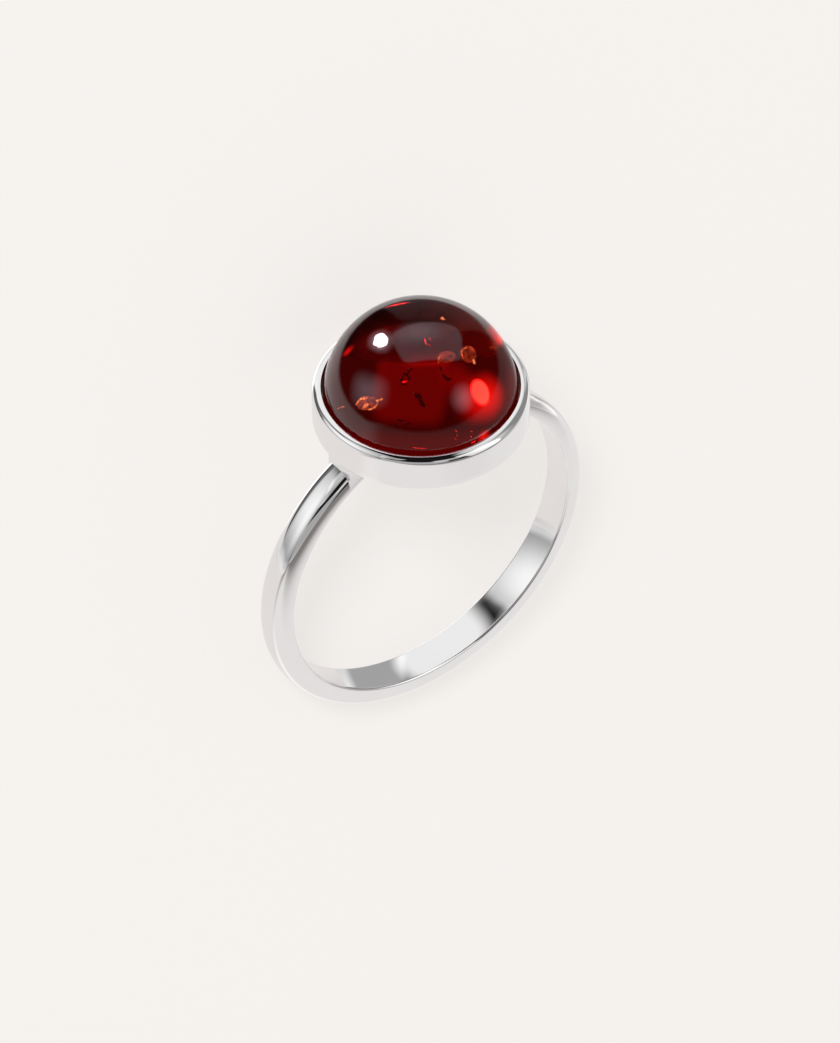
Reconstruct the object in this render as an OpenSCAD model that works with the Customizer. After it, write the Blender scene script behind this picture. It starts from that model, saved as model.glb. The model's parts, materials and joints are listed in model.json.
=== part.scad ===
// Ring with one round, high-domed amber stone in a plain bezel cup.
// It is built standing up, stone at the top and finger hole along Y, and then laid on its side.

/* [Finger hole] */
// Diameter of the finger hole
hole_d = 17.3; // [15.3:0.1:20.3]
// Width of the bevel that eases both edges of the finger hole
hole_bevel = 0.1; // [0.05:0.01:0.15]

/* [Band] */
// Width of the band at the finger hole
band_w = 1.9; // [1.7:0.1:2.6]
// Thickness of the band across from the stone
band_t = 1.3; // [1.2:0.05:1.5]
// Thickness that the band would have in the middle of the stone's side
band_top_t = 0.94; // [0.84:0.02:1.06]
// Fullness of the half-round section: 2 is an ellipse, and more is squarer
band_fullness = 3; // [2:0.5:4]

/* [Bezel cup] */
// Outer diameter of the cup
cup_d = 11; // [9:0.1:13]
// Height of the cup from its underside to its rim
cup_h = 1.95; // [1.8:0.05:2.4]
// Distance from the finger hole to the underside of the cup
cup_lift = 0.45; // [0.35:0.05:0.6]
// Thickness of the cup's wall
cup_wall = 0.46; // [0.42:0.02:0.5]
// Thickness of the cup's closed bottom
cup_bottom = 0.6; // [0.5:0.05:0.8]
// Bevel on the lower edge of the cup
cup_bevel = 0.06; // [0.03:0.01:0.1]
// Radius of the rounded outer edge of the rim
rim_round = 0.4; // [0.34:0.02:0.4]
// Width of the bright-cut flat on top of the rim
rim_flat = 0.18; // [0.16:0.02:0.2]
// Distance that the saddle's ends stand back from the cup's wall
saddle_inset = 0.35; // [0.2:0.05:0.5]

/* [Stone] */
// Space between the stone and the wall of the cup
stone_gap = 0.12; // [0.06:0.02:0.14]
// Space between the stone and the bottom of the cup
seat_gap = 0.1; // [0.05:0.05:0.15]
// Height of the stone's straight girdle
girdle_h = 0.75; // [0.5:0.05:0.9]
// Height of the dome above the girdle
dome_h = 4.86; // [3:0.1:5]
// Bevel round the flat base of the stone
stone_bevel = 0.2; // [0.1:0.05:0.3]

/* [Hidden] */
$fn = 160;
SECTION_STEPS = 28;
RIM_STEPS = 12;
DOME_STEPS = 40;

// The band: its crest is a circle that sits lower than the finger hole, so that it tapers to the stone
hole_r = hole_d / 2;
crest_drop = (band_t - band_top_t) / 2;
crest_h = (band_t + band_top_t) / 2;

// The cup: radii from its own axis, heights from the centre of the finger hole
cup_r = cup_d / 2;
cup_inner_r = cup_r - cup_wall;
cup_z = hole_r + cup_lift;
rim_z = cup_z + cup_h;
seat_z = cup_z + cup_bottom;
rim_center_r = cup_r - rim_round;
rim_end_angle = acos((cup_inner_r + rim_flat - rim_center_r) / rim_round);
rim_center_z = rim_z - rim_round * sin(rim_end_angle);

// The saddle: a little narrower than the band, so that their sides don't share a plane, and let into
// the bottom of the cup together with the band
saddle_w = band_w - 0.04;
saddle_r = cup_r - saddle_inset;
join_z = cup_z + 0.2;

// The stone
stone_r = cup_inner_r - stone_gap;
stone_z = seat_z + seat_gap;

// Points on an ellipse's arc from angle a to angle b
function arc(cx, cy, rx, ry, a, b, steps) =
    [for (i = [0 : steps]) let (t = a + (b - a) * i / steps) [cx + rx * cos(t), cy + ry * sin(t)]];

// Superellipse over the band's width: distance from the hole's axis, and across the band
function half_round(steps) =
    [for (i = [0 : steps])
        let (t = -90 + 180 * i / steps, p = 2 / band_fullness)
        [hole_r + crest_h * pow(cos(t), p), sign(t) * band_w / 2 * pow(abs(sin(t)), p)]];

// How far a superellipse with half-axes w and h reaches in the direction at angle a from its w axis
function reach(w, h, power, a) =
    let (q = power / (power - 1))
    pow(pow(w * cos(a), q) + pow(h * sin(a), q), 1 / q);

// How far the band's section reaches from the middle of its inner face
function band_reach(a) = reach(band_w / 2, crest_h, band_fullness, a);

// The lean at which the floor touches the side of the band and the cup's lower edge at once
function lean(a, passes) =
    passes == 0 ? a
    : lean(asin((cup_r * cos(a) - band_reach(a)) / (edge_z + low_z)), passes - 1);
edge_z = cup_z + cup_bevel;
low_z = hole_r + crest_drop;
rest_lean = lean(14, 12);
floor_drop = cup_r * cos(rest_lean) - edge_z * sin(rest_lean);

// The ring's middle along X once it lies down, between the stone's dome and the far side of the band
far_x = low_z * cos(rest_lean) + band_reach(90 - rest_lean);
near_x = (stone_z + girdle_h) * cos(rest_lean) + reach(stone_r, dome_h, 2, 90 - rest_lean);
middle_x = (near_x - far_x) / 2;

// Lays a standing ring on its side, its stone towards +X and its lowest edges on the floor
module laid_down() {
    translate([-middle_x, 0, floor_drop])
        rotate([0, -rest_lean, 0])
            rotate([-90, 0, -90])
                children();
}

// The whole round of the band, solid in the middle of its section
module band_round() {
    translate([0, 0, -crest_drop])
        rotate([90, 0, 0])
            rotate_extrude()
                polygon(concat([[hole_r - 1, -band_w / 2]], half_round(SECTION_STEPS),
                               [[hole_r - 1, band_w / 2]]));
}

// Fills the wedge between the band and the underside of the cup
module saddle() {
    intersection() {
        cylinder(r = saddle_r, h = seat_z);
        translate([-cup_r, -saddle_w / 2, 0])
            cube([cup_d, saddle_w, seat_z]);
    }
}

// Band and saddle, cut off flat inside the bottom of the cup
module band_and_saddle() {
    difference() {
        union() {
            band_round();
            saddle();
        }
        translate([-cup_r, -band_w, join_z])
            cube([cup_d, 2 * band_w, cup_h]);
    }
}

// The cup without its hollow: bevelled foot, upright wall, rounded rim and flat top
module cup_body() {
    rotate_extrude()
        polygon(concat([[0, cup_z], [cup_r - cup_bevel, cup_z], [cup_r, cup_z + cup_bevel]],
                       arc(rim_center_r, rim_center_z, rim_round, rim_round, 0, rim_end_angle, RIM_STEPS),
                       [[0, rim_z]]));
}

// The hollow that takes the stone
module cup_hollow() {
    translate([0, 0, seat_z])
        cylinder(r = cup_inner_r, h = cup_h);
}

// The finger hole, flared at both edges to bevel them
module finger_hole() {
    past = 0.1;
    flare_r = hole_r + hole_bevel + past;
    flare_y = band_w / 2 + past;
    bore_y = band_w / 2 - hole_bevel;
    rotate([90, 0, 0])
        rotate_extrude()
            polygon([[0, -flare_y], [flare_r, -flare_y], [hole_r, -bore_y],
                     [hole_r, bore_y], [flare_r, flare_y], [0, flare_y]]);
}

module band_and_bezel() {
    color("gainsboro")
        laid_down()
            difference() {
                union() {
                    band_and_saddle();
                    cup_body();
                }
                finger_hole();
                cup_hollow();
            }
}

module amber_cabochon() {
    color("darkred")
        laid_down()
            rotate_extrude()
                polygon(concat([[0, stone_z], [stone_r - stone_bevel, stone_z], [stone_r, stone_z + stone_bevel]],
                               arc(0, stone_z + girdle_h, stone_r, dome_h, 0, 90, DOME_STEPS)));
}

band_and_bezel();
amber_cabochon();
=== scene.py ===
import json
import math

import bmesh
import bpy
from mathutils import Matrix, Vector, noise


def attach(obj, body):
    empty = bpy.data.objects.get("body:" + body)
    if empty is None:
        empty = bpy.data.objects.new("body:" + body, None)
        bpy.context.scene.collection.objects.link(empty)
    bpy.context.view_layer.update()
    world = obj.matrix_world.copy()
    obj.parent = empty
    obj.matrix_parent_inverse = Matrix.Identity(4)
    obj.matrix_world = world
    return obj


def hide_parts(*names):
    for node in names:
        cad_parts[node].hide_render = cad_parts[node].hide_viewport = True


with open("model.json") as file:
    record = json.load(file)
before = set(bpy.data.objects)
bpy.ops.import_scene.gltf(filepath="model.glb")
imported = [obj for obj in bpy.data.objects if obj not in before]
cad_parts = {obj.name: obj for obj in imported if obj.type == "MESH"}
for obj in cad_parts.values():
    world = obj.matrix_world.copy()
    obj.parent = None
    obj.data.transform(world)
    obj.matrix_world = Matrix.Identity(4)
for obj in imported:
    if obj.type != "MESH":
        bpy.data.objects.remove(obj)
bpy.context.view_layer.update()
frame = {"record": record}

MM = 0.001
UP = Vector((0, 0, 1))

# Sizes of the ring in millimetres, which drive the rest as they do in the part's source
HOLE = next(m for m in frame["record"]["mounts"] if m["name"] == "finger_hole")
HOLE_R = HOLE["dims"]["r_mm"]
HOLE_EASE = 0.1
BAND_W = 1.9
BAND_T = 1.3
BAND_TOP_T = 0.94
FULLNESS = 3
CUP_R = 5.5
CUP_H = 1.95
CUP_LIFT = 0.45
CUP_WALL = 0.46
CUP_BOTTOM = 0.6
FOOT_EASE = 0.06
RIM_ROUND = 0.4
RIM_FLAT = 0.18
SADDLE_INSET = 0.35
STONE_GAP = 0.12
SEAT_GAP = 0.1
GIRDLE_H = 0.75
DOME_H = 4.86
STONE_EASE = 0.2

# The band's crest is a circle that sits lower than the finger hole
CREST_DROP = (BAND_T - BAND_TOP_T) / 2
CREST_H = (BAND_T + BAND_TOP_T) / 2

# The cup, the saddle under it and the stone in it: radii from the cup's axis, heights from the hole's middle
CUP_INNER_R = CUP_R - CUP_WALL
CUP_Z = HOLE_R + CUP_LIFT
RIM_Z = CUP_Z + CUP_H
SEAT_Z = CUP_Z + CUP_BOTTOM
SADDLE_R = CUP_R - SADDLE_INSET
SADDLE_W = BAND_W - 0.04
STONE_R = CUP_INNER_R - STONE_GAP
STONE_Z = SEAT_Z + SEAT_GAP
STONE_MIDDLE = STONE_Z + GIRDLE_H

# Heights inside the cup's bottom at which the band and the saddle end, out of sight
BAND_TOP = CUP_Z + 0.1
SADDLE_TOP = CUP_Z + 0.2

# Steps round each turned form, and the longest straight stretches of their outlines in millimetres
BAND_STEPS = 360
CUP_STEPS = 320
SADDLE_STEPS = 256
STONE_STEPS = 256
LONG_STRETCH = 0.3
GIRDLE_STRETCH = 0.15

# The photograph, in its own pixels
PHOTO_W = 840
PHOTO_H = 1043

AMBER_IOR = 1.54

# The middle of the worn patch on the stone, in pixels of the photograph
WORN_PATCH = (381, 341)

# The edges of the sun spangles, which are disc-shaped cracks in the amber, made bright by a painted glow in
# their material. Columns: start x and y, end x and y, sideways bulge and width, all in pixels of the
# photograph, and depth in millimetres
SPANGLE_EDGES = {
    "left spangle, upper rim": (355.5, 405.8, 369.0, 396.6, -2.2, 2.8, 0.5),
    "left spangle, fold": (361.3, 409.2, 369.5, 403.6, -0.5, 3.4, 0.5),
    "left spangle, crest": (363.0, 399.6, 368.4, 397.0, -0.4, 2.6, 0.45),
    "left spangle, lower rim": (367.6, 410.0, 378.3, 401.5, 2.0, 2.0, 0.5),
    "left spangle, neck": (375.4, 400.8, 379.8, 400.2, 0.0, 2.4, 0.4),
    "left spangle, tip": (379.2, 400.0, 382.8, 398.7, 0.0, 2.2, 0.4),
    "far left streak": (337.0, 409.0, 345.0, 406.3, -0.4, 1.2, 0.4),
    "right spangle, upper rim": (462.3, 350.5, 475.3, 353.5, -5.5, 1.0, 0.8),
    "right spangle, left rim": (462.2, 348.0, 463.5, 359.5, 1.2, 1.6, 0.8),
    "right spangle, tail": (473.2, 359.0, 474.8, 364.4, 0.0, 3.2, 0.4),
    "middle spangle, left rim": (438.4, 363.6, 441.5, 354.2, -1.2, 1.1, 0.8),
    "top fleck, level": (440.0, 317.5, 445.4, 319.4, 0.4, 2.4, 0.4),
    "top fleck, upright": (442.2, 316.0, 443.8, 320.2, 0.0, 1.4, 0.4),
}

# Painted red glints: glowing slivers in the stone that stand in for red reflections, in the same columns
PAINTED_RED_GLINTS = {
    "top streak": (384.5, 307.8, 411.0, 302.4, -0.8, 3.0, 0.4),
    "top streak, core": (391.0, 306.3, 406.0, 303.4, -0.3, 2.2, 0.35),
    "upper crack": (424.6, 338.0, 426.8, 345.2, 0.3, 1.4, 0.6),
    "rim glint": (470.4, 443.4, 476.0, 440.4, 0.3, 1.6, 0.3),
    "upper crack, foot": (428.0, 344.0, 431.0, 346.5, 0.0, 0.9, 0.6),
    "upper crack, top": (429.4, 337.4, 430.6, 340.2, 0.0, 0.7, 0.6),
    "first low spark": (455.0, 429.5, 457.2, 432.0, 0.0, 1.0, 0.4),
    "second low spark": (457.6, 433.6, 456.6, 437.2, 0.0, 0.9, 0.4),
    "third low spark": (454.2, 437.8, 456.6, 440.0, 0.0, 0.9, 0.4),
    "fourth low spark": (470.4, 430.8, 472.6, 432.0, 0.0, 0.9, 0.4),
    "fifth low spark": (470.6, 435.6, 471.8, 438.0, 0.0, 0.8, 0.4),
    "glint under the upper crumb": (401.4, 381.9, 408.0, 380.6, 0.8, 2.0, 1.9),
    "front streak": (412.0, 447.4, 427.0, 448.4, 0.4, 1.0, 0.3),
}

# The discs of the sun spangles. Columns: x, y, width, height and thickness in pixels of the photograph,
# slant in degrees and depth in millimetres
SPANGLE_DISCS = {
    "left disc": (367.5, 403.5, 23.0, 11.5, 0.5, -16, 0.6),
    "right disc": (468.6, 354.0, 15.5, 16.5, 0.5, 20, 0.9),
    "middle disc": (446.5, 356.8, 17.0, 11.0, 0.5, -12, 0.9),
    "far right disc": (492.3, 348.0, 8.0, 3.2, 0.4, -8, 0.4),
}

# The parts of the dark crumbs, in the columns of the discs
CRUMBS = {
    "upper crumb, head": (409.4, 370.6, 5.0, 2.4, 3, -50, 2.2),
    "upper crumb, neck": (405.8, 374.4, 4.5, 3.0, 3, 10, 2.2),
    "upper crumb, left": (401.6, 378.6, 4.0, 2.4, 3, -60, 2.2),
    "upper crumb, right": (409.2, 378.2, 2.4, 3.4, 3, 0, 2.2),
    "upper crumb, foot": (403.4, 384.0, 6.0, 1.5, 2, 14, 2.2),
    "middle crumb, tip": (414.6, 393.4, 3.0, 1.8, 2, 0, 2.4),
    "middle crumb, upper": (418.4, 396.4, 6.0, 4.6, 4, 50, 2.4),
    "middle crumb, lower": (421.4, 402.4, 8.5, 3.4, 3, 62, 2.4),
    "right crumb, middle": (445.0, 377.0, 6.0, 2.2, 3, 40, 2.6),
    "right crumb, lower": (449.0, 379.6, 4.0, 1.8, 2, -30, 2.6),
    "right crumb, upper": (440.6, 368.6, 4.0, 1.4, 2, 70, 2.6),
    "front crumb, upper": (401.0, 420.8, 6.0, 1.6, 2, 10, 2.0),
    "front crumb, lower": (407.0, 423.8, 5.0, 1.4, 2, -20, 2.0),
    "front crumb, left": (397.0, 425.6, 3.0, 1.3, 2, 0, 2.0),
}

# A colour mix goes by the numbers of its sockets, because those for other kinds of value share their names
MIX_FACTOR = 0
MIX_FIRST = 6
MIX_SECOND = 7
MIX_RESULT = 2

# Azimuth of the table's middle in front of the ring, which only the silver sees bright
TABLE_FRONT = 15

# How far the lights stand from the ring in metres, each a step further than the one before, because two
# lights in one plane hide each other
SOFTBOX_DISTANCE = 1.0
SOFTBOX_STEP = 0.01
DAYLIGHT_DISTANCE = 1.5

# The lights that the stone shows are faintly mauve
STONE_TINT = "#FFF0FC"
WHITE = "#FFFFFF"

# Columns of the lights: azimuth, elevation, roll, width and height in degrees, radiance, softness of the
# edge from 0 to 1, and squareness, where 2 is an ellipse and more is squarer
STONE_GLOSS = {
    "overhead": (123, 69, 34, 70, 54, 0.75, 0.12, 6),
    "overhead_middle": (150, 60, 0, 60, 44, 1.0, 1.0, 2),
    "stone_key": (-164, 41, -31, 12, 21, 250, 0.3, 2),
    "stone_key_halo": (-163, 41, -32, 26, 44, 3.5, 1.0, 2),
    "left_spot": (-108, 20, 36, 64, 44, 1.4, 1.0, 3),
    "right_spot": (20, 22, 0, 38, 40, 1.6, 1.0, 2),
    "back_panel": (134, 12, 0, 56, 60, 0.16, 0.1, 8),
}
THROUGH_STONE = {
    "window": (137, 55, 0, 35, 40, 0.65, 0.35, 6),
    "window_top": (151, 65, 0, 24, 10, 1.0, 0.8, 3),
    "window_low": (143, 24, 0, 80, 26, 0.28, 0.5, 4),
    "window_right": (172, 49, 0, 22, 40, 1.1, 1.0, 2),
    "low_back": (-150, 34, 0, 60, 20, 0.3, 0.8, 3),
    "crown_red": (36, 70, 0, 44, 34, 1.7, 1.0, 2),
    "left_red": (60, 53, 0, 9, 9, 14, 0.9, 2),
    "right_red": (-101, 46, -14, 24, 13, 42, 0.9, 2),
    "low_red": (177, 25, 0, 10, 9, 4.5, 1.0, 2),
    "glow": (-177, 45, 0, 11, 13, 520, 0.8, 2),
    "glow_halo": (-174, 42, 0, 34, 27, 5.0, 1.0, 2),
}
SILVER_GLOSS = {
    "table_front": (TABLE_FRONT, -70, 0, 164, 100, 0.6, 0.7, 8),
    "table_edge_right": (124, -6.3, 0, 100, 12.6, 0.72, 1.0, 8),
    "table_edge_back": (-174, -6.3, 0, 100, 12.6, 0.72, 1.0, 8),
    "table_edge_left": (-112, -6.3, 0, 100, 12.6, 0.72, 1.0, 8),
    "left_wall": (-114, 26, 0, 84, 60, 0.62, 0.9, 2),
    "left_fill": (-108, 22, 0, 76, 56, 0.38, 0.25, 6),
    "front_fill": (-42, 9, 0, 66, 30, 0.4, 0.15, 8),
    "right_strip": (24, 18, 8, 38, 60, 0.75, 0.12, 8),
    "right_glow": (36, 28, 12, 60, 76, 0.45, 0.9, 2.5),
    "right_fill": (72, 18, 0, 84, 84, 0.25, 0.12, 8),
    "high_right": (66, 64, 0, 60, 26, 0.65, 0.5, 4),
    "high_back": (163, 52, 0, 68, 54, 0.9, 0.45, 4),
    "rim_left": (-67, 44, 0, 19, 24, 0.4, 0.15, 8),
    "rim_right": (-10, 24, 0, 30, 24, 0.42, 0.3, 6),
    "high_left": (-105, 54, 0, 44, 26, 0.5, 0.5, 4),
    "back_wall": (168, 2, 0, 40, 64, 0.8, 0.2, 6),
    "back_fill": (128, 16, 0, 48, 44, 0.38, 0.3, 5),
    "dark_corner": (-166, 18, 0, 44, 52, 0.1, 0.2, 6),
}


def ring_frame():
    """Standing ring in mm (X across, Y along the finger, Z to the stone) to where it lies, in metres."""
    finger = Vector(HOLE["axis"]).normalized()
    across = Vector((0, -1, 0))
    to_stone = across.cross(-finger)
    turn = Matrix((across, -finger, to_stone)).transposed().to_4x4()
    return Matrix.Translation(HOLE["pos_m"]) @ turn @ Matrix.Scale(MM, 4)


RING = ring_frame()
RING_TURN = RING.to_3x3().normalized()


def linear(hex_color):
    """An sRGB hex value as linear red, green, blue and alpha."""
    channels = [int(hex_color[i:i + 2], 16) / 255 for i in (1, 3, 5)]
    return [c / 12.92 if c <= 0.04045 else ((c + 0.055) / 1.055) ** 2.4 for c in channels] + [1]


def direction(azimuth, elevation):
    """A direction about the standing ring: azimuth in degrees from the front towards X, and elevation."""
    az = math.radians(azimuth)
    el = math.radians(elevation)
    return Vector((math.sin(az) * math.cos(el), -math.cos(az) * math.cos(el), math.sin(el)))


class View:
    """The photograph's camera about the standing ring, a third of a metre away."""
    azimuth = -35.382
    elevation = 44.550
    roll = math.radians(0.523)
    distance_mm = 1000 / 3
    px_per_mm = 19.454
    hole_middle_px = Vector((422.158, 541.283))
    toward = direction(azimuth, elevation)
    level = (-toward).cross(UP).normalized()
    upright_down = (-toward).cross(level)
    right = math.cos(roll) * level + math.sin(roll) * upright_down
    down = math.cos(roll) * upright_down - math.sin(roll) * level
    aside = (hole_middle_px - Vector((PHOTO_W, PHOTO_H)) / 2) / px_per_mm
    place = toward * distance_mm - right * aside.x - down * aside.y


def camera():
    """The photograph's view of the ring as it lies."""
    data = bpy.data.cameras.new("camera")
    data.sensor_width = 36
    data.lens = View.px_per_mm * View.distance_mm * data.sensor_width / PHOTO_H
    data.clip_start = 0.01
    data.clip_end = 20
    camera_object = bpy.data.objects.new("camera", data)
    turn = RING_TURN @ Matrix((View.right, -View.down, View.toward)).transposed()
    camera_object.matrix_world = Matrix.Translation(RING @ View.place) @ turn.to_4x4()
    bpy.context.scene.collection.objects.link(camera_object)
    bpy.context.scene.camera = camera_object


def inside_stone(pixel, depth):
    """Where a pixel of the photograph looks at a depth in the amber, and the way that the view runs there.

    A pixel just past the stone's outline is taken on its outline.
    """
    ray = ((pixel[0] - PHOTO_W / 2) * View.right + (pixel[1] - PHOTO_H / 2) * View.down
           - View.px_per_mm * View.distance_mm * View.toward).normalized()
    shrink = Matrix.Diagonal((1 / STONE_R, 1 / STONE_R, 1 / DOME_H))
    middle = Vector((0, 0, STONE_MIDDLE))
    start = shrink @ (View.place - middle)
    step = shrink @ ray
    half = start.dot(step)
    under_root = max(0, half ** 2 - step.dot(step) * (start.dot(start) - 1))
    outward = View.place + (-half - math.sqrt(under_root)) / step.dot(step) * ray - middle
    outward /= (shrink @ outward).length
    surface = middle + outward
    normal = (shrink @ shrink @ outward).normalized()
    facing = -normal.dot(ray)
    inwards = math.sqrt(1 - (1 - facing ** 2) / AMBER_IOR ** 2)
    bent = ray / AMBER_IOR + (facing / AMBER_IOR - inwards) * normal
    return surface + depth * bent, bent


def new_piece(name, shape):
    """An object for a finished shape."""
    mesh = bpy.data.meshes.new(name)
    shape.to_mesh(mesh)
    shape.free()
    piece = bpy.data.objects.new(name, mesh)
    bpy.context.scene.collection.objects.link(piece)
    return piece


def arc(center, radii, start, end, steps):
    """Points on an ellipse's arc between two angles in degrees."""
    angles = [math.radians(start + (end - start) * i / steps) for i in range(steps + 1)]
    return [(center[0] + radii[0] * math.cos(a), center[1] + radii[1] * math.sin(a)) for a in angles]


def subdivided(points, longest):
    """The same outline with no stretch longer than a given length."""
    out = [points[0]]
    for (r0, z0), (r1, z1) in zip(points, points[1:]):
        parts = max(1, math.ceil(math.hypot(r1 - r0, z1 - z0) / longest))
        out += [(r0 + (r1 - r0) * i / parts, z0 + (z1 - z0) * i / parts) for i in range(1, parts + 1)]
    return out


def bridge(shape, one, two, steps):
    """Faces between two rings of corners, where a ring of a single corner is a tip."""
    for i in range(steps):
        j = (i + 1) % steps
        corners = (one[i % len(one)], one[j % len(one)], two[j % len(two)], two[i % len(two)])
        unique = list(dict.fromkeys(corners))
        if len(unique) > 2:
            shape.faces.new(unique)


def turned(name, outline, steps, place=Matrix()):
    """A closed solid turned about Z from (radius, height) points.

    An outline that doesn't start on the axis closes on itself.
    """
    on_axis = 1e-6
    angles = [2 * math.pi * i / steps for i in range(steps)]
    shape = bmesh.new()
    rings = []
    for radius, height in outline:
        if radius < on_axis:
            corners = [(0, 0, height)]
        else:
            corners = [(radius * math.cos(a), radius * math.sin(a), height) for a in angles]
        rings.append([shape.verts.new(corner) for corner in corners])
    pairs = list(zip(rings, rings[1:]))
    if len(rings[0]) > 1:
        pairs.append((rings[-1], rings[0]))
    for lower, upper in pairs:
        bridge(shape, lower, upper, steps)
    bmesh.ops.recalc_face_normals(shape, faces=shape.faces)
    piece = new_piece(name, shape)
    piece.data.transform(place)
    return piece


def block(name, length, width, low, high):
    """A block about the ring's axis from one height to another."""
    place = Matrix.Translation((0, 0, (low + high) / 2)) @ Matrix.Diagonal((length, width, high - low, 1))
    shape = bmesh.new()
    bmesh.ops.create_cube(shape, size=1, matrix=place)
    return new_piece(name, shape)


def cut_and_join(base, operations):
    """Applies exact booleans to a piece in order and removes the helper pieces."""
    for operation, other in operations:
        change = base.modifiers.new(operation, "BOOLEAN")
        change.operation = operation
        change.object = other
        change.solver = "EXACT"
    graph = bpy.context.evaluated_depsgraph_get()
    mesh = bpy.data.meshes.new_from_object(base.evaluated_get(graph))
    base.modifiers.clear()
    old = base.data
    base.data = mesh
    bpy.data.meshes.remove(old)
    for _, other in operations:
        bpy.data.meshes.remove(other.data)


def smooth(piece, crease_deg):
    """Smooth shading, with edges sharper than an angle kept crisp."""
    mesh = piece.data
    mesh.shade_smooth()
    shape = bmesh.new()
    shape.from_mesh(mesh)
    for edge in shape.edges:
        edge.smooth = len(edge.link_faces) == 2 and edge.calc_face_angle(0) < math.radians(crease_deg)
    shape.to_mesh(mesh)
    shape.free()


def lay_down(piece, stands_for=None):
    """Lays a finished piece down with the ring, hangs it on the root body, and hides the CAD part that it
    stands for.
    """
    piece.data.transform(RING)
    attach(piece, "root")
    if stands_for:
        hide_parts(stands_for)


def band_outline():
    """Half-round section of the band's outside, with its middle filled in."""
    steps = 40
    inner = HOLE_R - 1
    half = []
    for i in range(steps + 1):
        a = math.radians(90 * i / steps)
        across = (math.sin(a) / (BAND_W / 2)) ** FULLNESS
        outward = (math.cos(a) / CREST_H) ** FULLNESS
        size = (across + outward) ** (-1 / FULLNESS)
        half.append((HOLE_R + size * math.cos(a), size * math.sin(a)))
    far = [(r, -y) for r, y in reversed(half)]
    return [(inner, -BAND_W / 2)] + far + half[1:] + [(inner, BAND_W / 2)]


def hole_outline():
    """The finger hole as a solid, with both of its edges rounded over outwards.

    The rounding is a fifth wider than the bevel of the CAD, which brings the two shapes close. Its last
    stretch goes on past the side of the band.
    """
    past = 1.0
    ease = HOLE_EASE * 1.2
    edge = arc((HOLE_R + ease, BAND_W / 2 - ease), (ease, ease), 180, 100, 5)
    (r0, y0), (r1, y1) = edge[-2:]
    flare_r = 2 * r1 - r0
    edge.append((flare_r, 2 * y1 - y0))
    upper = edge + [(flare_r, BAND_W / 2 + past), (0, BAND_W / 2 + past)]
    lower = [(r, -y) for r, y in reversed(upper)]
    return lower + upper


def cup_outline():
    """Section of the cup: bottom with an eased foot, wall, rounded rim, bright-cut flat and hollow."""
    center_r = CUP_R - RIM_ROUND
    end = math.degrees(math.acos((CUP_INNER_R + RIM_FLAT - center_r) / RIM_ROUND))
    center_z = RIM_Z - RIM_ROUND * math.sin(math.radians(end))
    foot = arc((CUP_R - FOOT_EASE, CUP_Z + FOOT_EASE), (FOOT_EASE, FOOT_EASE), -90, 0, 6)
    rim = arc((center_r, center_z), (RIM_ROUND, RIM_ROUND), 0, end, 24)
    hollow = [(CUP_INNER_R, RIM_Z), (CUP_INNER_R, SEAT_Z), (0, SEAT_Z)]
    return subdivided([(0, CUP_Z)] + foot + rim + hollow, LONG_STRETCH)


def band_and_bezel():
    """Band, saddle and cup joined as one soldered piece, with the finger hole cut through."""
    past = 3
    saddle_low = HOLE_R - past
    along_finger = Matrix.Rotation(math.radians(90), 4, "X")
    lowered = Matrix.Translation((0, 0, -CREST_DROP)) @ along_finger
    band = turned("polished_band_and_bezel", band_outline(), BAND_STEPS, lowered)
    cup = turned("cup", cup_outline(), CUP_STEPS)
    saddle = turned("saddle", [(0, saddle_low), (SADDLE_R, saddle_low), (SADDLE_R, SADDLE_TOP),
                               (0, SADDLE_TOP)], SADDLE_STEPS)
    slab = block("slab", 2 * (SADDLE_R + past), SADDLE_W, saddle_low - past, SADDLE_TOP + past)
    cut_and_join(saddle, [("INTERSECT", slab)])
    over_band = block("over_band", 2 * (CUP_R + past), 2 * (CUP_R + past), BAND_TOP, CUP_Z + past)
    hole = turned("hole", hole_outline(), BAND_STEPS, along_finger)
    cut_and_join(band, [("UNION", saddle), ("DIFFERENCE", over_band),
                        ("DIFFERENCE", hole), ("UNION", cup)])
    return band


def amber_cabochon():
    """The stone: flat base with an eased edge, straight girdle and high dome."""
    base = arc((STONE_R - STONE_EASE, STONE_Z + STONE_EASE), (STONE_EASE, STONE_EASE), -90, 0, 8)
    dome = arc((0, STONE_MIDDLE), (STONE_R, DOME_H), 0, 90, 96)
    under = subdivided([(0, STONE_Z)] + base, LONG_STRETCH)
    girdle = subdivided([base[-1], dome[0]], GIRDLE_STRETCH)
    return turned("amber_stone", under + girdle[1:] + dome[1:], STONE_STEPS)


def cup_inside(piece, material):
    """Gives the faces inside the cup a finish of their own."""
    near = 0.01
    piece.data.materials.append(material)
    for face in piece.data.polygons:
        radius = math.hypot(face.center.x, face.center.y)
        if SEAT_Z - near < face.center.z < RIM_Z - near and radius < CUP_INNER_R + near:
            face.material_index = 1


def bowed(start, end, bow):
    """Pixels from one place to another along an arc that bulges sideways by a number of pixels."""
    steps = 10
    start = Vector(start)
    end = Vector(end)
    side = Vector((start.y - end.y, end.x - start.x)).normalized()
    return [start.lerp(end, i / steps) + side * bow * math.sin(math.pi * i / steps)
            for i in range(steps + 1)]


def sliver(shape, pixels, depth, width):
    """A thin closed flake in the stone, pointed at both ends, along a path of pixels of the photograph."""
    taper = 0.6
    flatness = 0.4
    sides = 4
    path = [inside_stone(pixel, depth)[0] for pixel in pixels]
    last = len(path) - 1
    rings = [[shape.verts.new(path[0])]]
    for i in range(1, last):
        along = (path[i + 1] - path[i - 1]).normalized()
        side = along.cross(inside_stone(pixels[i], depth)[1]).normalized()
        over = flatness * side.cross(along)
        reach = width / 2 / View.px_per_mm * math.sin(math.pi * i / last) ** taper
        rings.append([shape.verts.new(path[i] + reach * offset) for offset in (side, over, -side, -over)])
    rings.append([shape.verts.new(path[last])])
    for one, two in zip(rings, rings[1:]):
        bridge(shape, one, two, sides)


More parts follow.
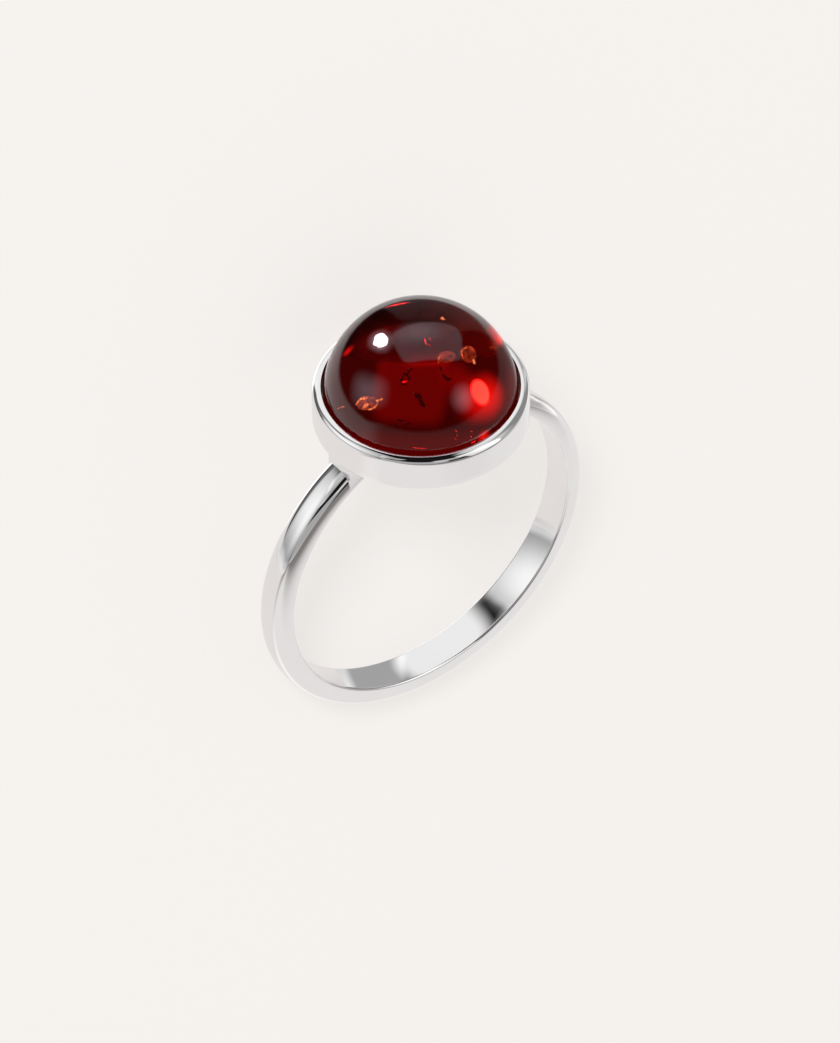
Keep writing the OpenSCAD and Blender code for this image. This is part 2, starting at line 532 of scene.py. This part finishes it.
def lump(shape, x, y, width, height, thickness, slant, depth, roughness):
    """A rounded lump in the stone, flat to the view: rough for a crumb, and not rough for a disc."""
    knob_rate = 1.8
    grain_rate = 5
    grain_share = 0.4
    middle, along_view = inside_stone((x, y), depth)
    across = View.right - View.right.dot(along_view) * along_view
    axes = Matrix((across.normalized(), along_view.cross(across).normalized(), along_view)).transposed()
    turn = axes @ Matrix.Rotation(math.radians(slant), 3, "Z")
    size = Vector((width, height, thickness)) / 2 / View.px_per_mm
    made = bmesh.ops.create_icosphere(shape, subdivisions=3, radius=1)
    for vertex in made["verts"]:
        knobs = noise.noise(vertex.co * knob_rate + Vector((x, y, 0)))
        grain = noise.noise(vertex.co * grain_rate + Vector((y, x, 0)))
        swell = 1 + roughness * (knobs + grain_share * grain)
        vertex.co = middle + turn @ (vertex.co * swell * size)


def inclusion(name, shape, material):
    """Makes a piece of flakes or lumps and lays it in the stone."""
    bmesh.ops.recalc_face_normals(shape, faces=shape.faces)
    piece = new_piece(name, shape)
    piece.data.shade_smooth()
    piece.data.materials.append(material)
    lay_down(piece)


def inclusions():
    """What the amber holds: sun spangles with their discs and dark crumbs, whose materials add a painted
    glow, and painted red glints.
    """
    for name, edges, material in (("sun_spangles", SPANGLE_EDGES, spangle_with_painted_glow()),
                                  ("painted_red_glints", PAINTED_RED_GLINTS, painted_red_glint())):
        shape = bmesh.new()
        for x0, y0, x1, y1, bulge, width, depth in edges.values():
            sliver(shape, bowed((x0, y0), (x1, y1), bulge), depth, width)
        inclusion(name, shape, material)
    for name, lumps, material, roughness in (("spangle_discs", SPANGLE_DISCS, spangle_film_with_painted_glow(), 0.0),
                                             ("bark_crumbs", CRUMBS, bark_crumb_with_painted_light(), 0.5)):
        shape = bmesh.new()
        for row in lumps.values():
            lump(shape, *row, roughness)
        inclusion(name, shape, material)


def add_node(tree, kind, inputs=None, **settings):
    """Adds a shader node, sets its properties, and fills its inputs with values or links."""
    node = tree.nodes.new(kind)
    for name, value in settings.items():
        setattr(node, name, value)
    for place, value in (inputs or {}).items():
        if isinstance(value, bpy.types.NodeSocket):
            tree.links.new(value, node.inputs[place])
        else:
            node.inputs[place].default_value = value
    return node


def new_material(name):
    """An empty node material and its tree."""
    material = bpy.data.materials.new(name)
    material.use_nodes = True
    material.node_tree.nodes.clear()
    return material, material.node_tree


def polished_sterling_silver():
    """Mirror-polished 925 silver: bright and faintly warm, with the haze and ripple that a mop leaves.

    The mop's own marks are too fine to show, so the haze is drawn in patches of 1.5 mm.
    """
    haze_size = 1.5 * MM
    ripple_size = 0.9 * MM
    ripple_depth = 0.01 * MM
    material, tree = new_material("polished sterling silver")
    place = add_node(tree, "ShaderNodeTexCoord").outputs["Object"]
    haze = add_node(tree, "ShaderNodeTexNoise", {"Vector": place, "Scale": 1 / haze_size, "Detail": 3.0})
    polish = add_node(tree, "ShaderNodeMapRange", {
        "Value": haze.outputs["Fac"], "From Min": 0.35, "From Max": 0.7, "To Min": 0.01, "To Max": 0.035})
    shade = add_node(tree, "ShaderNodeMix", {
        MIX_FACTOR: haze.outputs["Fac"], MIX_FIRST: linear("#F9F8F8"), MIX_SECOND: linear("#F2F1F1")},
        data_type="RGBA")
    ripple = add_node(tree, "ShaderNodeTexNoise", {
        "Vector": place, "Scale": 1 / ripple_size, "Detail": 1.0})
    bump = add_node(tree, "ShaderNodeBump", {
        "Height": ripple.outputs["Fac"], "Strength": 0.1, "Distance": ripple_depth})
    shader = add_node(tree, "ShaderNodeBsdfPrincipled", {
        "Base Color": shade.outputs[MIX_RESULT], "Metallic": 1.0, "Roughness": polish.outputs[0],
        "Normal": bump.outputs[0]})
    add_node(tree, "ShaderNodeOutputMaterial", {"Surface": shader.outputs[0]})
    return material


def unpolished_silver():
    """Silver inside the cup: grey, darker than the polished silver, and matt, so it gives little light back.
    """
    grain_size = 0.3 * MM
    grain_depth = 0.02 * MM
    material, tree = new_material("unpolished silver")
    place = add_node(tree, "ShaderNodeTexCoord").outputs["Object"]
    grain = add_node(tree, "ShaderNodeTexNoise", {"Vector": place, "Scale": 1 / grain_size, "Detail": 4.0})
    shade = add_node(tree, "ShaderNodeMix", {
        MIX_FACTOR: grain.outputs["Fac"], MIX_FIRST: linear("#9A948E"), MIX_SECOND: linear("#C4BEB8")},
        data_type="RGBA")
    bump = add_node(tree, "ShaderNodeBump", {
        "Height": grain.outputs["Fac"], "Strength": 0.5, "Distance": grain_depth})
    shader = add_node(tree, "ShaderNodeBsdfPrincipled", {
        "Base Color": shade.outputs[MIX_RESULT], "Metallic": 1.0, "Roughness": 0.3,
        "Normal": bump.outputs[0]})
    add_node(tree, "ShaderNodeOutputMaterial", {"Surface": shader.outputs[0]})
    return material


def cherry_amber():
    """Polished cherry amber: clear and deep red, darker the more of it there is to see through.

    Amber is soft, so it has a ring of tiny pits where it is worn, which make the edge of its brightest
    highlight uneven. Real pits are finer than a pixel: these are drawn 0.12 mm wide.
    """
    pit_size = 0.12 * MM
    pit_depth = 0.003 * MM
    material, tree = new_material("cherry amber")
    place = add_node(tree, "ShaderNodeTexCoord").outputs["Object"]
    grit = add_node(tree, "ShaderNodeTexNoise", {"Vector": place, "Scale": 1 / pit_size, "Detail": 1.0})
    from_patch = add_node(tree, "ShaderNodeVectorMath", {
        0: place, 1: RING @ inside_stone(WORN_PATCH, 0)[0]}, operation="DISTANCE")
    inner = add_node(tree, "ShaderNodeMapRange", {
        "Value": from_patch.outputs["Value"], "From Min": 0.15 * MM, "From Max": 0.35 * MM},
        interpolation_type="SMOOTHSTEP")
    outer = add_node(tree, "ShaderNodeMapRange", {
        "Value": from_patch.outputs["Value"], "From Min": 0.45 * MM, "From Max": 1.0 * MM,
        "To Min": 1.0, "To Max": 0.0}, interpolation_type="SMOOTHSTEP")
    worn = add_node(tree, "ShaderNodeMath", {0: inner.outputs[0], 1: outer.outputs[0]}, operation="MULTIPLY")
    uneven = add_node(tree, "ShaderNodeMath", {0: grit.outputs["Fac"], 1: 0.5}, operation="SUBTRACT")
    pits = add_node(tree, "ShaderNodeMath", {0: uneven.outputs[0], 1: worn.outputs[0]}, operation="MULTIPLY")
    bump = add_node(tree, "ShaderNodeBump", {
        "Height": pits.outputs[0], "Strength": 1.0, "Distance": pit_depth})
    shader = add_node(tree, "ShaderNodeBsdfPrincipled", {
        "Base Color": linear("#FFFFFF"), "Roughness": 0.0, "IOR": AMBER_IOR, "Transmission Weight": 1.0,
        "Normal": bump.outputs[0]})
    absorption = add_node(tree, "ShaderNodeVolumeAbsorption", {
        "Color": linear("#EA9589"), "Density": 1 / MM})
    add_node(tree, "ShaderNodeOutputMaterial", {
        "Surface": shader.outputs[0], "Volume": absorption.outputs[0]})
    return material


def flecked_color_and_glow(tree, size, dark, bright):
    """A colour that flickers between two hex values in flecks, as light from crumpled cracks does. It also
    feeds the flakes' emission, so there its bright flecks are painted glints.
    """
    place = add_node(tree, "ShaderNodeTexCoord").outputs["Object"]
    flecks = add_node(tree, "ShaderNodeTexNoise", {"Vector": place, "Scale": 1 / size, "Detail": 2.0})
    spread = add_node(tree, "ShaderNodeMapRange", {
        "Value": flecks.outputs["Fac"], "From Min": 0.35, "From Max": 0.65})
    # Where this colour feeds emission, its flecks are painted glints.
    mix = add_node(tree, "ShaderNodeMix", {
        MIX_FACTOR: spread.outputs[0], MIX_FIRST: linear(dark), MIX_SECOND: linear(bright)},
        data_type="RGBA")
    return mix.outputs[MIX_RESULT]


def spangle_with_painted_glow():
    """The edge of a disc-shaped crack in amber: it mirrors lamps as gold foil does, and its emission is a
    painted glow in place of the light that it mirrors.
    """
    material, tree = new_material("sun spangle with painted glow")
    color = flecked_color_and_glow(tree, 0.15 * MM, "#8A1E04", "#FF9A5C")
    # The emission is painted light: a glow in place of the lamps' light that the crack mirrors.
    shader = add_node(tree, "ShaderNodeBsdfPrincipled", {
        "Base Color": color, "Metallic": 1.0, "Roughness": 0.25,
        "Emission Color": color, "Emission Strength": 1.0})
    add_node(tree, "ShaderNodeOutputMaterial", {"Surface": shader.outputs[0]})
    return material


def spangle_film_with_painted_glow():
    """The disc of such a crack: a film of gas, faintly orange, that lets light through, with a painted
    orange glow.
    """
    material, tree = new_material("spangle film with painted glow")
    color = flecked_color_and_glow(tree, 0.25 * MM, "#3A0A04", "#A8421C")
    # The emission is painted light: a soft glow on the film in place of the light that it catches.
    shader = add_node(tree, "ShaderNodeBsdfPrincipled", {
        "Base Color": color, "Roughness": 0.3, "Alpha": 0.55,
        "Emission Color": color, "Emission Strength": 0.9})
    add_node(tree, "ShaderNodeOutputMaterial", {"Surface": shader.outputs[0]})
    return material


def painted_red_glint():
    """A painted red glint: a glowing sliver that stands in for a red reflection inside the amber."""
    material, tree = new_material("painted red glint")
    color = flecked_color_and_glow(tree, 0.25 * MM, "#8A0208", "#FF2828")
    # The emission is painted light, in place of a red reflection.
    shader = add_node(tree, "ShaderNodeBsdfPrincipled", {
        "Base Color": color, "Roughness": 0.3, "Emission Color": color, "Emission Strength": 1.0})
    add_node(tree, "ShaderNodeOutputMaterial", {"Surface": shader.outputs[0]})
    return material


def bark_crumb_with_painted_light():
    """Bark caught in the resin: brown-black, dull and rough, with a faint painted red glow in place of the
    red light that falls on it from the amber.
    """
    grain_size = 0.08 * MM
    grain_depth = 0.02 * MM
    material, tree = new_material("bark crumb with painted red light")
    place = add_node(tree, "ShaderNodeTexCoord").outputs["Object"]
    grain = add_node(tree, "ShaderNodeTexNoise", {"Vector": place, "Scale": 1 / grain_size, "Detail": 3.0})
    shade = add_node(tree, "ShaderNodeMix", {
        MIX_FACTOR: grain.outputs["Fac"], MIX_FIRST: linear("#1C0503"), MIX_SECOND: linear("#4A140A")},
        data_type="RGBA")
    bump = add_node(tree, "ShaderNodeBump", {
        "Height": grain.outputs["Fac"], "Strength": 0.6, "Distance": grain_depth})
    # The emission is painted light: the red light from the amber that falls on the crumb.
    shader = add_node(tree, "ShaderNodeBsdfPrincipled", {
        "Base Color": shade.outputs[MIX_RESULT], "Roughness": 0.85, "Emission Color": linear("#400604"),
        "Emission Strength": 0.5, "Normal": bump.outputs[0]})
    add_node(tree, "ShaderNodeOutputMaterial", {"Surface": shader.outputs[0]})
    return material


def soft_edge(tree, softness, squareness):
    """Fades a light out towards its edge, which is a superellipse about the light's middle."""
    place = add_node(tree, "ShaderNodeNewGeometry").outputs["Parametric"]
    centred = add_node(tree, "ShaderNodeVectorMath", {0: place, 1: (2, 2, 0), 2: (-1, -1, 0)},
                       operation="MULTIPLY_ADD")
    split = add_node(tree, "ShaderNodeSeparateXYZ", {0: centred.outputs[0]})
    powers = []
    for axis in ("X", "Y"):
        size = add_node(tree, "ShaderNodeMath", {0: split.outputs[axis]}, operation="ABSOLUTE")
        power = add_node(tree, "ShaderNodeMath", {0: size.outputs[0], 1: squareness}, operation="POWER")
        powers.append(power.outputs[0])
    total = add_node(tree, "ShaderNodeMath", {0: powers[0], 1: powers[1]}, operation="ADD")
    reach = add_node(tree, "ShaderNodeMath", {0: total.outputs[0], 1: 1 / squareness}, operation="POWER")
    fade = add_node(tree, "ShaderNodeMapRange", {
        "Value": reach.outputs[0], "From Min": 1 - softness, "From Max": 1.0, "To Min": 1.0, "To Max": 0.0},
        interpolation_type="SMOOTHSTEP")
    tree.links.new(fade.outputs[0], tree.nodes["Emission"].inputs["Strength"])


def softbox(name, distance, tint, receiver, seen,
            azimuth, elevation, roll, width, height, radiance, softness, squareness):
    """A studio light that shows in one piece alone, with soft edges.

    Its width and height are angles in degrees, as seen from the ring. It is seen in a piece's gloss or,
    where seen is "through", only by light that has passed through the stone.
    """
    toward = direction(azimuth, elevation)
    level = Matrix.Rotation(math.radians(roll), 3, toward) @ UP.cross(toward).normalized()
    turn = RING_TURN @ Matrix((level, toward.cross(level), toward)).transposed()
    place = RING.translation + RING_TURN @ toward * distance
    data = bpy.data.lights.new(name, "AREA")
    data.shape = "RECTANGLE"
    data.size = 2 * distance * math.tan(math.radians(width / 2))
    data.size_y = 2 * distance * math.tan(math.radians(height / 2))
    data.energy = radiance * math.pi * data.size * data.size_y
    data.color = linear(tint)[:3]
    data.use_nodes = True
    soft_edge(data.node_tree, softness, squareness)
    light = bpy.data.objects.new(name, data)
    light.matrix_world = Matrix.Translation(place) @ turn.to_4x4()
    bpy.context.scene.collection.objects.link(light)
    light.visible_camera = False
    light.visible_diffuse = False
    light.visible_glossy = seen == "gloss"
    light.visible_transmission = seen == "through"
    receivers = bpy.data.collections.new(name + "_receivers")
    receivers.objects.link(receiver)
    light.light_linking.receiver_collection = receivers


def studio(ring, stone):
    """Soft lights: each piece has its own set, as a photographer's flags and cards would give it."""
    sets = ((STONE_GLOSS, STONE_TINT, stone, "gloss"),
            (THROUGH_STONE, STONE_TINT, stone, "through"),
            (SILVER_GLOSS, WHITE, ring, "gloss"))
    count = 0
    for lights, tint, receiver, seen in sets:
        for name, row in lights.items():
            softbox(name, SOFTBOX_DISTANCE + count * SOFTBOX_STEP, tint, receiver, seen, *row)
            count += 1


def daylight():
    """The one lamp that lights the floor, high up to the front left."""
    toward = RING_TURN @ direction(azimuth=-53, elevation=54)
    turn = toward.to_track_quat("Z", "Y").to_matrix()
    data = bpy.data.lights.new("daylight", "AREA")
    data.shape = "DISK"
    data.size = 0.4
    data.energy = 14.0
    lamp = bpy.data.objects.new("daylight", data)
    lamp.matrix_world = Matrix.Translation(toward * DAYLIGHT_DISTANCE) @ turn.to_4x4()
    bpy.context.scene.collection.objects.link(lamp)
    lamp.visible_camera = False
    lamp.visible_glossy = False
    lamp.visible_transmission = False


def room():
    """What lies around the ring, which differs with how it is seen.

    The gloss mirrors a pale table with dark above it. Behind the ring the table's edge is lower and its
    colour paler, because the light table_front adds to it only in front. Light through the stone comes from
    a dim room, and the floor's light from a pale one. Heights are sines of the elevation.
    """
    front_lift = 0.1
    world = bpy.data.worlds.new("world")
    bpy.context.scene.world = world
    world.use_nodes = True
    tree = world.node_tree
    place = add_node(tree, "ShaderNodeTexCoord").outputs["Generated"]
    path = add_node(tree, "ShaderNodeLightPath")
    height = add_node(tree, "ShaderNodeVectorMath", {0: place, 1: RING_TURN @ UP},
                      operation="DOT_PRODUCT").outputs["Value"]
    front = add_node(tree, "ShaderNodeVectorMath", {0: place, 1: RING_TURN @ direction(TABLE_FRONT, 0)},
                     operation="DOT_PRODUCT").outputs["Value"]
    in_front = add_node(tree, "ShaderNodeMapRange", {"Value": front, "From Min": -0.4, "From Max": 0.0},
                        interpolation_type="SMOOTHSTEP").outputs[0]
    above_edge = add_node(tree, "ShaderNodeMath", {0: in_front, 1: -front_lift, 2: height},
                          operation="MULTIPLY_ADD")
    table = add_node(tree, "ShaderNodeMapRange", {
        "Value": above_edge.outputs[0], "From Min": -0.22, "From Max": -0.1, "To Min": 1.0, "To Max": 0.0},
        interpolation_type="SMOOTHSTEP")
    table_color = add_node(tree, "ShaderNodeMix", {
        MIX_FACTOR: in_front, MIX_FIRST: linear("#E8E4E2"), MIX_SECOND: linear("#827E7C")},
        data_type="RGBA")
    mirrored = add_node(tree, "ShaderNodeMix", {
        MIX_FACTOR: table.outputs[0], MIX_FIRST: linear("#181617"),
        MIX_SECOND: table_color.outputs[MIX_RESULT]}, data_type="RGBA")
    low = add_node(tree, "ShaderNodeMapRange", {
        "Value": height, "From Min": -0.1, "From Max": -0.02, "To Min": 1.0, "To Max": 0.0})
    through = add_node(tree, "ShaderNodeMix", {
        MIX_FACTOR: low.outputs[0], MIX_FIRST: linear("#8C8A89"), MIX_SECOND: linear("#EFEBE8")},
        data_type="RGBA")
    gloss = add_node(tree, "ShaderNodeMix", {
        MIX_FACTOR: path.outputs["Is Glossy Ray"], MIX_FIRST: linear("#DEDCDB"),
        MIX_SECOND: mirrored.outputs[MIX_RESULT]}, data_type="RGBA")
    seen = add_node(tree, "ShaderNodeMix", {
        MIX_FACTOR: path.outputs["Is Transmission Ray"], MIX_FIRST: gloss.outputs[MIX_RESULT],
        MIX_SECOND: through.outputs[MIX_RESULT]}, data_type="RGBA")
    tree.links.new(seen.outputs[MIX_RESULT], tree.nodes["Background"].inputs["Color"])


def floor():
    """A plain floor, lit from below as a light table is, so that it stays pale all over."""
    far = 3.0
    shape = bmesh.new()
    bmesh.ops.create_grid(shape, x_segments=1, y_segments=1, size=far)
    piece = new_piece("floor", shape)
    material, tree = new_material("pale floor")
    shader = add_node(tree, "ShaderNodeBsdfDiffuse", {"Color": linear("#838281")})
    lit = add_node(tree, "ShaderNodeEmission", {"Color": linear("#D6D3D0"), "Strength": 1.0})
    both = add_node(tree, "ShaderNodeAddShader", {0: shader.outputs[0], 1: lit.outputs[0]})
    add_node(tree, "ShaderNodeOutputMaterial", {"Surface": both.outputs[0]})
    piece.data.materials.append(material)
    piece.visible_glossy = False
    piece.visible_transmission = False
    piece.visible_shadow = False


camera()
ring = band_and_bezel()
smooth(ring, crease_deg=22)
ring.data.materials.append(polished_sterling_silver())
cup_inside(ring, unpolished_silver())
lay_down(ring, stands_for="band_and_bezel")
stone = amber_cabochon()
smooth(stone, crease_deg=40)
stone.data.materials.append(cherry_amber())
lay_down(stone, stands_for="amber_cabochon")
inclusions()
bpy.context.scene.view_settings.view_transform = "Standard"
room()
floor()
studio(ring, stone)
daylight()
